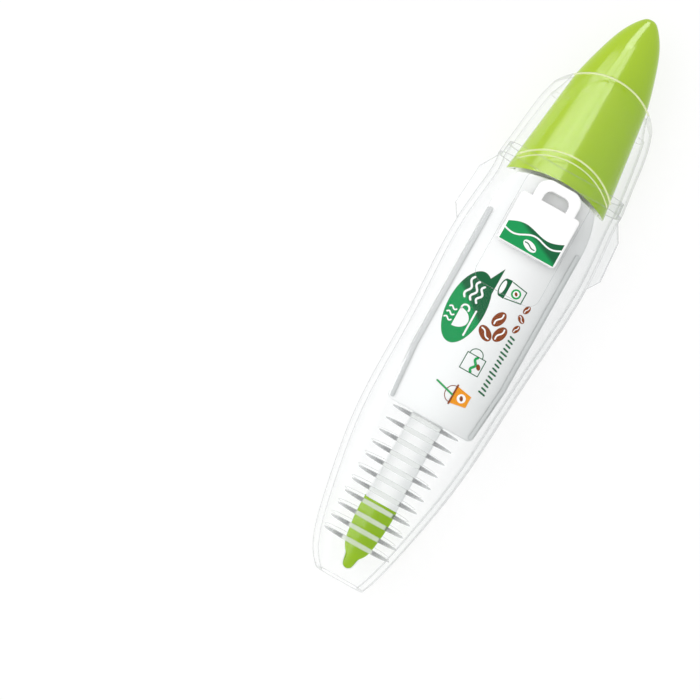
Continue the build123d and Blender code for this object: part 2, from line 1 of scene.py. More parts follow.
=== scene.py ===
"""Looks of the pen-shaped correction tape roller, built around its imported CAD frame.

Sizes are in millimetres of the pen: x behind the nose, y to the left, z above the centre line.
at() turns them into the frame's metres.
"""

from math import atan2, cos, hypot, pi, radians, sin

import bmesh
import bpy
from mathutils import Matrix, Vector
from mathutils.bvhtree import BVHTree


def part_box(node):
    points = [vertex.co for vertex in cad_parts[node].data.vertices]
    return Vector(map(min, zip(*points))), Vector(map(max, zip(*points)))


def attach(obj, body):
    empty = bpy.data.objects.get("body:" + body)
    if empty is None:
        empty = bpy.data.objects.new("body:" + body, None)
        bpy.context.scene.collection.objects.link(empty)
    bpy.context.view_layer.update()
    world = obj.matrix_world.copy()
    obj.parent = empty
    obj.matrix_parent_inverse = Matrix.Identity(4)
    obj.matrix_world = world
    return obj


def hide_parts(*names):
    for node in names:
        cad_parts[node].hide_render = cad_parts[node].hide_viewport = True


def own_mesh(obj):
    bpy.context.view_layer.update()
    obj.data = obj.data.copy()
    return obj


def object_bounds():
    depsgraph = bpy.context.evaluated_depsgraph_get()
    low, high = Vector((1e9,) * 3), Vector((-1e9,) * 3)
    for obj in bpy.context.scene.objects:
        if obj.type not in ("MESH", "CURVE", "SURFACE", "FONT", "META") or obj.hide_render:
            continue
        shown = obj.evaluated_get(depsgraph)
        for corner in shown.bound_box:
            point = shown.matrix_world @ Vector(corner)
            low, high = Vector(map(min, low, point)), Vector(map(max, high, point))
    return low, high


MM = 0.001
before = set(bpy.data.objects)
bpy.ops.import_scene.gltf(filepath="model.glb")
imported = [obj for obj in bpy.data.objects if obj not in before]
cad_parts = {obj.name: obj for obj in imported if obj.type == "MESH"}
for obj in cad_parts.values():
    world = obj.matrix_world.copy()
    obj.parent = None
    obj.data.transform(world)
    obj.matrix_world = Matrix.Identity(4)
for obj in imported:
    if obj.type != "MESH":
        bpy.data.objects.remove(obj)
cad_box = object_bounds()
NOSE_X = cad_box[0].x
FLOOR_Z = cad_box[0].z
CENTRE_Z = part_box("top_shell")[0].z  # the shells meet on the centre line


def at(x, y, z=0.0):
    """Frame position, in metres, of a point given in millimetres of the pen."""
    return Vector((NOSE_X + x * MM, y * MM, CENTRE_Z + z * MM))


def pen_box(node):
    """Lowest and highest corners of a CAD node, in millimetres of the pen."""
    low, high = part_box(node)
    origin = Vector((NOSE_X, 0, CENTRE_Z))
    return (low - origin) / MM, (high - origin) / MM


# Grip ribs of the case, and the stem's column seen under them
RIB_COUNT = 11
RIB_FIRST = 7.6
RIB_PITCH = 2.59
RIB_HALF_WIDTH = 0.45
RIB_REACH = 6.9
RIB_MIDDLE_Y = 0.4
STEM_FLANGE = 1.2
COLUMN_HALF = pen_box("head_stem")[1].y - STEM_FLANGE

# Cartridge cover: its panel and the ridges along its sides
RIDGE_HEIGHT = 0.5
RIDGE_OUTER = 9.5
RIDGE_REAR = 74.3
PANEL_Z = pen_box("cartridge_cover")[1].z - RIDGE_HEIGHT
PANEL_REAR = pen_box("cartridge_cover")[1].x
BUTTON_SHADE = 1.1

# Prints: thickness of a layer of ink, and the mug-shaped button's box
INK = 0.03
MUG_LOW, MUG_HIGH = pen_box("release_button")

# Clear plastic: shares of milkiness and of mirror shine, of painted shade on its right flank, and the share
# of light in its shadow
BASE_HAZE = 0.002
TURNED_HAZE = 0.5
RIB_HAZE = 0.5
FLANK_PAINTED_SHADE = 0.05
MOST_HAZE = 0.55
BASE_MIRROR = 0.006
TURNED_MIRROR = 0.3
SHADOW_PASSES = 0.85

# Brightness of the light table and of the surroundings behind it
WHITE_SEEN = 1.04


# ---------------------------------------------------------------- materials


class Shader:
    """A material whose node tree is built one node at a time."""

    def __init__(self, name):
        self.material = bpy.data.materials.new(name)
        self.material.use_nodes = True
        self.tree = self.material.node_tree
        self.tree.nodes.clear()

    def add(self, kind, inputs=None, **settings):
        """A new node; its inputs are values or other nodes' output sockets."""
        node = self.tree.nodes.new("ShaderNode" + kind)
        for key, value in settings.items():
            setattr(node, key, value)
        for key, value in (inputs or {}).items():
            if isinstance(value, bpy.types.NodeSocket):
                self.tree.links.new(value, node.inputs[key])
            else:
                node.inputs[key].default_value = value
        return node

    def maths(self, operation, a, b=0.0, clamp=False):
        """The result of a Math node."""
        return self.add("Math", {0: a, 1: b}, operation=operation, use_clamp=clamp).outputs[0]

    def smooth(self, value, low, high):
        """0 below low, 1 above high and a smooth rise between them."""
        inputs = {"Value": value, "From Min": low, "From Max": high}
        return self.add("MapRange", inputs, interpolation_type="SMOOTHSTEP").outputs[0]

    def scaled(self, value, factor, base):
        """value times factor, plus base."""
        return self.add("Math", {0: value, 1: factor, 2: base}, operation="MULTIPLY_ADD").outputs[0]

    def mix_colour(self, factor, a, b):
        """a where factor is 0, b where it is 1."""
        return self.add("MixRGB", {0: factor, 1: a, 2: b}).outputs[0]

    def mix_surface(self, factor, a, b):
        """Surface a where factor is 0, surface b where it is 1."""
        return self.add("MixShader", {0: factor, 1: a, 2: b}).outputs[0]

    def position(self):
        """Sockets of a place in metres of the frame, whole and as x, y and z; they stay with the piece."""
        coordinates = self.add("TexCoord").outputs["Object"]
        return coordinates, self.add("SeparateXYZ", {0: coordinates}).outputs

    def millimetres(self, socket, origin):
        """A position socket counted in millimetres from a frame position."""
        return self.maths("DIVIDE", self.maths("SUBTRACT", socket, origin), MM)

    def noise(self, coordinates, size, detail=3.0):
        """Noise whose features are about size millimetres across."""
        inputs = {"Vector": coordinates, "Scale": 1 / (size * MM), "Detail": detail}
        return self.add("TexNoise", inputs).outputs[0]

    def surface(self, socket):
        """Finish the material with this surface, and return it."""
        self.add("OutputMaterial", {"Surface": socket})
        return self.material


def colour(red, green, blue):
    """Linear colour of an sRGB one given as 0 to 255."""
    linear = []
    for value in (red, green, blue):
        share = value / 255
        linear.append(share / 12.92 if share <= 0.04045 else ((share + 0.055) / 1.055) ** 2.4)
    return (*linear, 1.0)


def finish_plastic(
    shader, base, coordinates, roughness, grain=0.8, relief=0.004, coat=0.0, gleam=0.5, passing=0.0
):
    """A moulded surface, faintly uneven in gloss and height; passing is the share of light in its shadow."""
    fine = shader.noise(coordinates, grain)
    wide = shader.noise(coordinates, 9 * grain, 1.0)
    uneven = shader.scaled(wide, 0.12, roughness - 0.06)
    bump = shader.add("Bump", {"Height": fine, "Strength": 0.35, "Distance": relief * MM})
    inputs = {
        "Base Color": base,
        "Roughness": uneven,
        "Normal": bump.outputs[0],
        "Specular IOR Level": gleam,
        "Coat Weight": coat,
        "Coat Roughness": 0.06,
    }
    body = shader.add("BsdfPrincipled", inputs).outputs[0]
    if passing:
        shadow = shader.maths("MULTIPLY", shader.add("LightPath").outputs["Is Shadow Ray"], passing)
        body = shader.mix_surface(shadow, body, shader.add("BsdfTransparent").outputs[0])
    return shader.surface(body)


def moulded(name, tone, shade, roughness, **finish):
    """Opaque moulded plastic whose colour drifts slightly between two tones."""
    shader = Shader(name)
    coordinates, _ = shader.position()
    drift = shader.smooth(shader.noise(coordinates, 14.0, 2.0), 0.35, 0.65)
    return finish_plastic(shader, shader.mix_colour(drift, tone, shade), coordinates, roughness, **finish)


def lime_plastic(name, dark, light, coat, gleam):
    """Lime green with painted light: a little lighter toward the left flank, the side the light comes from.
    """
    shader = Shader(name)
    coordinates, place = shader.position()
    across = shader.millimetres(place[1], 0.0)
    # Painted light: lighter toward the left flank, where the light falls, broken by a little random drift.
    left = shader.smooth(shader.scaled(shader.noise(coordinates, 12.0, 2.0), 2.0, across), -7.0, 5.5)
    base = shader.mix_colour(left, dark, light)
    return finish_plastic(shader, base, coordinates, 0.17, coat=coat, gleam=gleam, passing=0.45)


def stem_plastic():
    """Pale stem with a painted highlight along a line near its middle and painted shade toward its sides."""
    painted_highlight_line = 0.5
    shader = Shader("pale_stem")
    coordinates, place = shader.position()
    off_line = shader.maths("ABSOLUTE", shader.millimetres(place[1], painted_highlight_line * MM))
    # Painted shade: greyer away from the highlight line, toward the stem's sides.
    side = shader.smooth(off_line, 0.4, 3.4)
    base = shader.mix_colour(side, colour(251, 251, 251), colour(226, 228, 228))
    return finish_plastic(shader, base, coordinates, 0.34)


def printed_panel():
    """White panel with painted shade: grey on its side ridges, greyer to the right, at its rear and close
    beside the button.
    """
    shader = Shader("printed_panel")
    coordinates, place = shader.position()
    x = shader.millimetres(place[0], NOSE_X)
    side = shader.millimetres(place[1], 0.0)
    z = shader.millimetres(place[2], CENTRE_Z)
    # Painted shade: the side ridges, and a strip just outside them as far back as their rear end, are
    # coloured grey.
    ridge_shade = shader.smooth(z, PANEL_Z + 0.05, PANEL_Z + 0.12)
    strip = shader.smooth(shader.maths("ABSOLUTE", side), RIDGE_OUTER - 0.1, RIDGE_OUTER + 0.05)
    alongside = shader.smooth(x, RIDGE_REAR + 0.3, RIDGE_REAR - 0.3)
    ridge_shade = shader.maths("MAXIMUM", ridge_shade, shader.maths("MULTIPLY", strip, alongside))
    # Painted shade: greyer toward the right side and, a little, toward the rear end.
    right = shader.smooth(side, 3.5, -11.0)
    rear = shader.maths("MULTIPLY", shader.smooth(x, PANEL_REAR - 7.4, PANEL_REAR - 0.4), 0.15)
    shade = shader.maths("MAXIMUM", right, rear)
    panel = shader.mix_colour(shade, colour(246, 247, 247), colour(210, 212, 212))
    # Painted shadow: darker where nearby parts, such as the button, close off the open sky.
    open_sky = shader.add("AmbientOcclusion", {"Distance": BUTTON_SHADE * MM}, samples=8).outputs["AO"]
    panel = shader.mix_colour(shader.smooth(open_sky, 0.35, 0.85), colour(150, 153, 154), panel)
    base = shader.mix_colour(ridge_shade, panel, colour(196, 199, 199))
    return finish_plastic(shader, base, coordinates, 0.34, coat=0.1)


def rib_masks(shader, place):
    """Masks of the frosted ribs, of what lies outside the column, and of the distance from it, which sets
    the ribs' painted shade.
    """
    x = shader.millimetres(place[0], NOSE_X)
    y = shader.maths("SUBTRACT", shader.millimetres(place[1], 0.0), RIB_MIDDLE_Y)
    row = shader.maths("DIVIDE", shader.maths("SUBTRACT", x, RIB_FIRST), RIB_PITCH)
    nearest = shader.maths("MAXIMUM", shader.maths("ROUND", row), 0.0)
    nearest = shader.maths("MINIMUM", nearest, RIB_COUNT - 1.0)
    off = shader.maths("ABSOLUTE", shader.maths("SUBTRACT", row, nearest))
    off = shader.maths("MULTIPLY", off, RIB_PITCH)
    reach = shader.maths("DIVIDE", y, RIB_REACH)
    inside = shader.maths("SUBTRACT", 1.0, shader.maths("MULTIPLY", reach, reach), clamp=True)
    width = shader.maths("MULTIPLY", shader.maths("SQRT", inside), RIB_HALF_WIDTH)
    rib = shader.smooth(shader.maths("SUBTRACT", width, off), -0.02, 0.05)
    beside = shader.maths("ABSOLUTE", y)
    outside = shader.smooth(beside, COLUMN_HALF - 0.3, COLUMN_HALF + 0.1)
    shade_fade = shader.smooth(beside, COLUMN_HALF, RIB_REACH)
    return rib, outside, shade_fade


def clear_plastic(name, frosted):
    """Thin clear plastic: milky along its edges and where it turns away, with painted shade on its right
    flank; its ribs may be frosted, with painted shade at their inner ends.
    """
    shader = Shader(name)
    _, place = shader.position()
    facing = shader.add("LayerWeight", {"Blend": 0.5}).outputs["Facing"]
    turned = shader.maths("MULTIPLY", shader.maths("POWER", facing, 6.0), TURNED_HAZE)
    rounded = shader.add("Bevel", {"Radius": 0.2 * MM}, samples=4).outputs[0]
    flat = shader.add("NewGeometry").outputs["Normal"]
    agree = shader.add("VectorMath", {0: rounded, 1: flat}, operation="DOT_PRODUCT").outputs["Value"]
    corner = shader.maths("MULTIPLY", shader.maths("SUBTRACT", 1.0, agree), 1.3, clamp=True)
    haze = shader.maths("MINIMUM", shader.maths("MAXIMUM", turned, corner), MOST_HAZE)
    haze = shader.maths("ADD", haze, BASE_HAZE)
    # Painted shade: grey milk added toward the right flank.
    right = shader.smooth(shader.millimetres(place[1], 0.0), -6.5, -12.0)
    haze = shader.maths("ADD", haze, shader.maths("MULTIPLY", right, FLANK_PAINTED_SHADE))
    grey = colour(180, 183, 184)
    if frosted:
        rib, outside, shade_fade = rib_masks(shader, place)
        haze = shader.maths("MAXIMUM", haze, shader.maths("MULTIPLY", rib, RIB_HAZE))
        # Painted shade on the ribs: dark grey at their inner ends beside the column, lighter outward, and
        # light over the column.
        outer_grey = shader.mix_colour(shade_fade, colour(108, 111, 112), colour(188, 191, 191))
        rib_grey = shader.mix_colour(outside, colour(232, 235, 233), outer_grey)
        grey = shader.mix_colour(rib, grey, rib_grey)
    diffuse = shader.add("BsdfDiffuse", {"Color": grey}).outputs[0]
    lit_through = shader.add("BsdfTranslucent", {"Color": grey}).outputs[0]
    milk = shader.mix_surface(0.35, diffuse, lit_through)
    shadow = shader.add("LightPath").outputs["Is Shadow Ray"]
    stopping = shader.maths("SUBTRACT", 1.0, shader.maths("MULTIPLY", shadow, SHADOW_PASSES))
    haze = shader.maths("MULTIPLY", haze, stopping)
    clear = shader.add("BsdfTransparent", {"Color": (0.998, 1.0, 1.0, 1)}).outputs[0]
    body = shader.mix_surface(haze, clear, milk)
    mirror = shader.scaled(shader.maths("POWER", facing, 5.0), TURNED_MIRROR, BASE_MIRROR)
    mirror = shader.maths("MULTIPLY", mirror, stopping)
    shine = shader.add("BsdfGlossy", {"Color": (1, 1, 1, 1), "Roughness": 0.07}).outputs[0]
    return shader.surface(shader.mix_surface(mirror, body, shine))


def wound_tape(name, node, tone, groove_shade):
    """Wound tape: fine rings of painted shade, standing for the grooves between windings, round the centre
    of its CAD node, with a matte film colour.
    """
    ring_pitch = 0.24
    low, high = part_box(node)
    centre = (low + high) / 2
    shader = Shader(name)
    coordinates, place = shader.position()
    x = shader.millimetres(place[0], centre.x)
    y = shader.millimetres(place[1], centre.y)
    squares = [shader.maths("MULTIPLY", side, side) for side in (x, y)]
    radius = shader.maths("SQRT", shader.maths("ADD", *squares))
    ring = shader.maths("SINE", shader.maths("MULTIPLY", radius, 2 * pi / ring_pitch))
    # Painted shade: the darker rings stand for the grooves between the windings.
    base = shader.mix_colour(shader.smooth(ring, -0.6, 0.9), groove_shade, tone)
    return finish_plastic(shader, base, coordinates, 0.55, grain=0.3, relief=0.01)


def spring_steel():
    """Drawn steel wire with fine marks."""
    shader = Shader("spring_steel")
    coordinates, _ = shader.position()
    marks = shader.noise(coordinates, 0.15)
    base = shader.mix_colour(marks, (0.55, 0.56, 0.58, 1), (0.8, 0.8, 0.82, 1))
    bump = shader.add("Bump", {"Height": marks, "Strength": 0.3, "Distance": 0.004 * MM}).outputs[0]
    inputs = {"Base Color": base, "Metallic": 1.0, "Roughness": 0.28, "Normal": bump}
    return shader.surface(shader.add("BsdfPrincipled", inputs).outputs[0])


def ink(name, tone, shade=None, split=None):
    """Printed ink with a faint mottle. A split shades one side of a line through the print."""
    shader = Shader(name)
    coordinates, place = shader.position()
    base = tone
    if split:
        (x, y), heading = split
        along = shader.maths("MULTIPLY", shader.millimetres(place[0], at(x, y).x), cos(heading))
        side = shader.maths("MULTIPLY", shader.millimetres(place[1], at(x, y).y), sin(heading))
        base = shader.mix_colour(shader.smooth(shader.maths("ADD", along, side), -0.5, 0.5), tone, shade)
    mottle = shader.maths("MULTIPLY", shader.noise(coordinates, 0.5), 0.08)
    darker = tuple(0.7 * value for value in tone[:3]) + (1.0,)
    base = shader.mix_colour(mottle, base, darker)
    return finish_plastic(shader, base, coordinates, 0.45, grain=0.4, gleam=0.12)


# ---------------------------------------------------------------- mesh tools


def add_to_scene(name, data):
    """A new object made of a mesh, a camera or a light."""
    thing = bpy.data.objects.new(name, data)
    bpy.context.scene.collection.objects.link(thing)
    return thing


def new_piece(name, mesh_data, body, materials, smooth=True):
    """Turn a bmesh into a piece that rides on a body."""
    bmesh.ops.recalc_face_normals(mesh_data, faces=mesh_data.faces)
    mesh = bpy.data.meshes.new(name)
    mesh_data.to_mesh(mesh)
    mesh_data.free()
    if smooth:
        mesh.shade_smooth()
    for material in materials:
        mesh.materials.append(material)
    piece = add_to_scene(name, mesh)
    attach(piece, body)
    return piece


def ellipse(x, y, half_length, half_width, turn=0.0, start=0.0, end=360.0, steps=48):
    """Points of an ellipse, or of part of one between two angles in degrees."""
    points = []
    count = steps if end - start >= 360 else steps + 1
    for step in range(count):
        angle = radians(start + (end - start) * step / steps)
        u, v = half_length * cos(angle), half_width * sin(angle)
        points.append((x + u * cos(turn) - v * sin(turn), y + u * sin(turn) + v * cos(turn)))
    return points


def stroke(points, width):
    """Outline of a line drawn through points with rounded ends."""
    cap_steps = 6
    left, right = [], []
    for index, (x, y) in enumerate(points):
        before = points[max(index - 1, 0)]
        after = points[min(index + 1, len(points) - 1)]
        heading = atan2(after[1] - before[1], after[0] - before[0])
        offset_x, offset_y = -sin(heading) * width / 2, cos(heading) * width / 2
        left.append((x + offset_x, y + offset_y))
        right.append((x - offset_x, y - offset_y))
    caps = []
    for end, beside in ((points[-1], points[-2]), (points[0], points[1])):
        heading = atan2(end[1] - beside[1], end[0] - beside[0])
        angles = [heading - (step / cap_steps * pi - pi / 2) for step in range(1, cap_steps)]
        caps.append([(end[0] + cos(a) * width / 2, end[1] + sin(a) * width / 2) for a in angles])
    return left + caps[0] + right[::-1] + caps[1]


def wave(start, end, height, turns, steps=24):
    """Points of a wavy line between two points, with so many whole waves."""
    run_x, run_y = end[0] - start[0], end[1] - start[1]
    length = hypot(run_x, run_y)
    points = []
    for step in range(steps + 1):
        share = step / steps
        off = height * sin(2 * pi * turns * share)
        x = start[0] + run_x * share - run_y / length * off
        y = start[1] + run_y * share + run_x / length * off
        points.append((x, y))
    return points


def bulge(rear, radius, y):
    """x on an arc that bulges to the rear, at y off the centre line."""
    return rear - radius + (radius * radius - y * y) ** 0.5


class Motif:
    """A printed motif: thin plates of ink on a flat surface, gathered in one mesh."""

    def __init__(self, surface, x=0.0, y=0.0):
        self.surface, self.x, self.y = surface, x, y
        self.mesh = bmesh.new()
        self.inks = []

    def plate(self, outline, material, layer=0):
        """Add a closed plate with the given outline; higher layers lie on top of lower ones."""
        if material not in self.inks:
            self.inks.append(material)
        rings = []
        for level in (layer, layer + 1):
            height = self.surface + INK * level
            places = [at(self.x + u, self.y + v, height) for u, v in outline]
            rings.append([self.mesh.verts.new(place) for place in places])
        faces = [self.mesh.faces.new(ring) for ring in rings]
        for index in range(len(outline)):
            after = (index + 1) % len(outline)
            corners = (rings[0][index], rings[0][after], rings[1][after], rings[1][index])
            faces.append(self.mesh.faces.new(corners))
        for face in faces:
            face.material_index = self.inks.index(material)

    def line(self, points, width, material, layer=0):
        """Add a line drawn through points."""
        self.plate(stroke(points, width), material, layer)

    def finish(self, name, body="carriage", slot="white_panel"):
        """Turn the plates into one piece."""
        bmesh.ops.triangulate(self.mesh, faces=self.mesh.faces)
        new_piece(name, self.mesh, body, self.inks, smooth=False)


def tube(mesh, centres, frames, wire, around):
    """Skin a round wire over centres; each frame holds two directions across the wire."""
    rings = []
    for centre, (first, second) in zip(centres, frames):
        ring = []
        for side in range(around):
            turn = 2 * pi * side / around
            ring.append(mesh.verts.new(centre + (first * cos(turn) + second * sin(turn)) * wire * MM))
        rings.append(ring)
    for before, after in zip(rings, rings[1:]):
        for side in range(around):
            following = (side + 1) % around
            mesh.faces.new((before[side], before[following], after[following], after[side]))
    mesh.faces.new(rings[0])
    mesh.faces.new(rings[-1])


def coil(name, node, axis, wire, turns, body):
    """A wound spring in the place of its CAD node."""
    per_turn = 32
    low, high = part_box(node)
    middle = (low + high) / 2
    length = high[axis] - low[axis] - 2 * wire * MM
    radius = (high[1] - low[1]) / 2 - wire * MM
    along = Vector([float(index == axis) for index in range(3)])
    first = Vector((0, 1, 0))
    second = along.cross(first)
    steps = int(turns * per_turn)
    centres, frames = [], []
    for step in range(steps + 1):
        angle = 2 * pi * turns * step / steps
        outward = first * cos(angle) + second * sin(angle)
        centres.append(middle + outward * radius + along * (length * (step / steps - 0.5)))
        frames.append((outward, along))
    mesh = bmesh.new()
    tube(mesh, centres, frames, wire, 10)
    piece = new_piece(name, mesh, body, [STEEL])
    anchor = Vector(middle)
    anchor[axis] = low[axis]
    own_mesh(piece)
    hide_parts(node)


# ---------------------------------------------------------------- CAD nodes' materials

WHITE = moulded("white_moulding", colour(238, 239, 239), colour(230, 231, 232), 0.36)
PALE = moulded("pale_moulding", colour(252, 252, 252), colour(248, 249, 249), 0.3)
BUTTON_WHITE = moulded("button_white", colour(250, 250, 250), colour(246, 247, 247), 0.28, coat=0.3)
ACETAL = moulded("grey_acetal", colour(208, 211, 214), colour(196, 200, 204), 0.42)
FELT = moulded("clutch_felt", colour(70, 72, 76), colour(52, 54, 58), 0.9, grain=0.15, relief=0.03)
TAPE = moulded("tape_film", colour(246, 246, 242), colour(238, 238, 233), 0.5, grain=0.4)
LIME = lime_plastic("lime_plastic", colour(146, 182, 0), colour(168, 200, 0), coat=0.6, gleam=0.35)
HEAD_LIME = lime_plastic("lime_head", colour(134, 180, 0), colour(152, 192, 0), coat=0.25, gleam=0.15)
STEM = stem_plastic()
PANEL = printed_panel()
CLEAR = clear_plastic("clear_plastic", frosted=False)
FROSTED = clear_plastic("clear_frosted_ribs", frosted=True)
STEEL = spring_steel()
SUPPLY_WINDING = wound_tape("supply_winding", "supply_tape", colour(247, 247, 244), colour(205, 206, 202))
USED_BACKING = wound_tape("used_backing", "takeup_tape", colour(226, 220, 200), colour(184, 176, 152))
FINISHES = {
    "top_shell": FROSTED,
    "bottom_shell": CLEAR,
    "rear_collar": CLEAR,
    "cartridge_base": WHITE,
    "cartridge_cover": PANEL,
    "head_stem": STEM,
    "transfer_head": HEAD_LIME,
    "tape_strand": TAPE,
    "push_button": LIME,
    "release_button": BUTTON_WHITE,
    "supply_gear": ACETAL,
    "clutch_washer": FELT,
    "idler_gear": ACETAL,
    "supply_reel": PALE,
    "supply_tape": SUPPLY_WINDING,
    "clutch_spring": STEEL,
    "takeup_reel": ACETAL,
    "takeup_tape": USED_BACKING,
    "supply_guide": PALE,
    "takeup_guide": PALE,
}
for node, material in FINISHES.items():
    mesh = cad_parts[node].data
    mesh.materials.clear()
    mesh.materials.append(material)

# ---------------------------------------------------------------- prints

LEAF_GREEN = colour(0, 150, 80)
DEEP_GREEN = colour(0, 92, 52)
GREEN_INK = ink("green_ink", DEEP_GREEN)
WHITE_INK = ink("white_ink", colour(250, 250, 250))
BROWN_INK = ink("brown_ink", colour(134, 58, 0))
ORANGE_INK = ink("orange_ink", colour(238, 150, 0))
BRIGHT_GREEN_INK = ink("bright_green_ink", colour(20, 160, 80))


def speech_bubble():
    """Green oval speech bubble with a white cup and its aroma."""
    bubble_ink = ink("bubble_ink", LEAF_GREEN, DEEP_GREEN, ((57.0, 4.0), radians(-38)))
    motif = Motif(PANEL_Z, 56.0, 4.2)
    motif.plate(ellipse(0, 0, 7.3, 3.6, steps=72), bubble_ink)
    motif.plate([(2.6, -2.9), (6.4, -1.2), (9.6, -2.9)], bubble_ink, 1)
    cup = ellipse(-2.4, 0.9, 1.9, 2.5, start=180, end=360, steps=24)
    motif.plate(cup, WHITE_INK, 1)
    motif.line(ellipse(-0.4, 0.05, 0.75, 0.75, start=-100, end=100, steps=16), 0.36, WHITE_INK, 1)
    motif.line([(-4.9, -2.0), (0.1, -2.0)], 0.36, WHITE_INK, 1)
    for step in range(3):
        start = (-3.5 + 1.1 * step, 1.4)
        motif.line(wave(start, (start[0], 2.8), 0.22, 1), 0.3, WHITE_INK, 1)
    for step in range(3):
        level = 1.3 - 1.25 * step
        motif.line(wave((1.5, level), (5.6 - 0.4 * step, level), 0.34, 1.5), 0.42, WHITE_INK, 1)
    motif.finish("print_speech_bubble")


def bean(motif, x, y, length, width, turn):
    """A coffee bean with a light crease."""
    motif.plate(ellipse(x, y, length / 2, width / 2, turn), BROWN_INK)
    half = 0.36 * length
    start = (x - half * cos(turn), y - half * sin(turn))
    end = (x + half * cos(turn), y + half * sin(turn))
    motif.line(wave(start, end, 0.06 * length, 1), 0.09 * length, WHITE_INK, 1)


def beans():
    """Three large beans and a trail of three small ones."""
    motif = Motif(PANEL_Z)
    for x, y, turn in ((56.9, -2.2, -20), (53.4, -1.2, 56), (54.5, -3.7, -18.6)):
        bean(motif, x, y, 3.3, 2.1, radians(turn))
    for x, y, turn in ((60.9, -5.9, -15), (58.9, -5.8, 50), (56.8, -5.9, -18)):
        bean(motif, x, y, 1.75, 1.1, radians(turn))
    motif.finish("print_beans")


def takeaway_cup():
    """Outlined cup with a green lid and a plain round badge."""
    motif = Motif(PANEL_Z, 62.5, -2.0)
    motif.plate([(-1.9, 1.0), (1.9, 1.0), (1.8, 2.0), (-1.8, 2.0)], GREEN_INK)
    motif.plate(ellipse(0, 2.0, 1.8, 0.75, steps=32), GREEN_INK, 1)
    motif.plate(ellipse(0, 2.1, 1.35, 0.45, steps=32), WHITE_INK, 2)
    for side in (-1, 1):
        motif.line([(side * 1.7, 0.8), (side * 1.2, -2.3)], 0.18, GREEN_INK)
    motif.line([(-1.2, -2.3), (1.2, -2.3)], 0.18, GREEN_INK)
    motif.plate(ellipse(0, -0.7, 0.95, 0.95, steps=32), BRIGHT_GREEN_INK)
    motif.plate(ellipse(0, -0.7, 0.62, 0.62, steps=24), WHITE_INK, 1)
    motif.plate(ellipse(0, -0.7, 0.4, 0.26, radians(40), steps=20), BROWN_INK, 2)
    motif.finish("print_takeaway_cup")


def outlined_mug():
    """Mug drawn in a thin green line, with a handle and a small bean."""
    motif = Motif(PANEL_Z, 47.5, -2.0)
    corners = [(-1.9, 1.9), (-1.9, -1.9), (1.4, -1.9), (1.4, 1.9), (-1.9, 1.9)]
    for start, end in zip(corners, corners[1:]):
        motif.line([start, end], 0.16, GREEN_INK)
    handle = ellipse(1.5, 0.2, 1.2, 1.3, start=-90, end=90, steps=20)
    motif.line(handle, 0.16, GREEN_INK)
    motif.line(wave((-1.7, -0.3), (1.2, -0.3), 0.28, 1.5), 0.5, BRIGHT_GREEN_INK)
    motif.plate(ellipse(-0.3, -1.2, 0.6, 0.38, radians(35), steps=24), BROWN_INK)
    motif.finish("print_mug")


def iced_cup():
    """Orange cup with a domed lid, a green straw and a plain round badge."""
    motif = Motif(PANEL_Z, 40.6, -2.6)
    motif.plate([(-1.15, -2.2), (1.15, -2.2), (1.7, 0.9), (-1.7, 0.9)], ORANGE_INK)
    motif.line([(-1.9, 1.0), (1.9, 1.0)], 0.35, BROWN_INK, 1)
    dome = ellipse(0, 1.2, 1.6, 1.4, start=0, end=180, steps=24)
    motif.line(dome, 0.14, BROWN_INK)
    motif.line([(-0.1, 1.2), (0.9, 4.9)], 0.32, BRIGHT_GREEN_INK, 2)
    motif.plate(ellipse(0, -0.7, 0.85, 0.85, steps=32), WHITE_INK, 1)
    motif.plate(ellipse(0, -0.7, 0.5, 0.32, radians(30), steps=24), BROWN_INK, 2)
    motif.finish("print_iced_cup")


def tick_row():
    """Row of short slanted green ticks along the right side of the panel."""
    motif = Motif(PANEL_Z)
    ticks, first, last = 15, 43.3, 55.0
    for index in range(ticks):
        x = first + (last - first) * index / (ticks - 1)
        half = 0.42 if index % 5 else 0.6
        motif.line([(x - 0.12, -6.1 - half), (x + 0.12, -6.1 + half)], 0.34, GREEN_INK)
    motif.finish("print_tick_row")


def rear_arch():
    """Pale band that closes the gap between the cartridge's rear and the push button's edge."""
    cover_radius, button_radius, gap, overlap = 19.3, 25.8, 0.4, 0.35
    reach, steps, level = 8.8, 36, 3.15
    inner, outer = [], []
    for step in range(steps + 1):
        share = 2 * step / steps - 1
        y = reach * share
        inner.append((bulge(PANEL_REAR + 0.03, cover_radius, y), y))
        edge = bulge(PANEL_REAR + gap, button_radius, y)
        outer.append((edge + overlap * (1 - share * share), y))
    motif = Motif(level)
    motif.plate(inner + outer[::-1], WHITE_INK)
    motif.finish("rear_arch", slot="white")


def mug_waves():
    """Green band with a wavy edge on the front of the mug, crossed by a white wave and bean."""
    front = MUG_LOW.x + 0.25
    low_y, high_y = MUG_LOW.y + 0.45, MUG_HIGH.y - 0.45
    wave_ink = ink("wave_ink", LEAF_GREEN, DEEP_GREEN, ((front + 2.6, -1.2), radians(-25)))
    motif = Motif(MUG_HIGH.z)
    crest = wave((front + 4.6, low_y), (front + 3.6, high_y), 0.7, 1.0, steps=40)
    motif.plate([(front, low_y)] + crest + [(front, high_y)], wave_ink)
    lower = wave((front + 3.3, low_y), (front + 2.3, high_y), 0.5, 1.5, steps=40)
    motif.line(lower, 0.32, WHITE_INK, 1)
    motif.plate(ellipse(front + 1.3, -0.4, 1.5, 0.8, radians(72)), WHITE_INK, 1)
    motif.line(wave((front + 1.0, -1.5), (front + 1.6, 0.7), 0.14, 1), 0.2, GREEN_INK, 2)
    motif.finish("print_mug_waves", "release_button")


for make in (speech_bubble, beans, takeaway_cup, outlined_mug, iced_cup, tick_row, rear_arch, mug_waves):
    make()

# ---------------------------------------------------------------- painted highlight rings on the collar


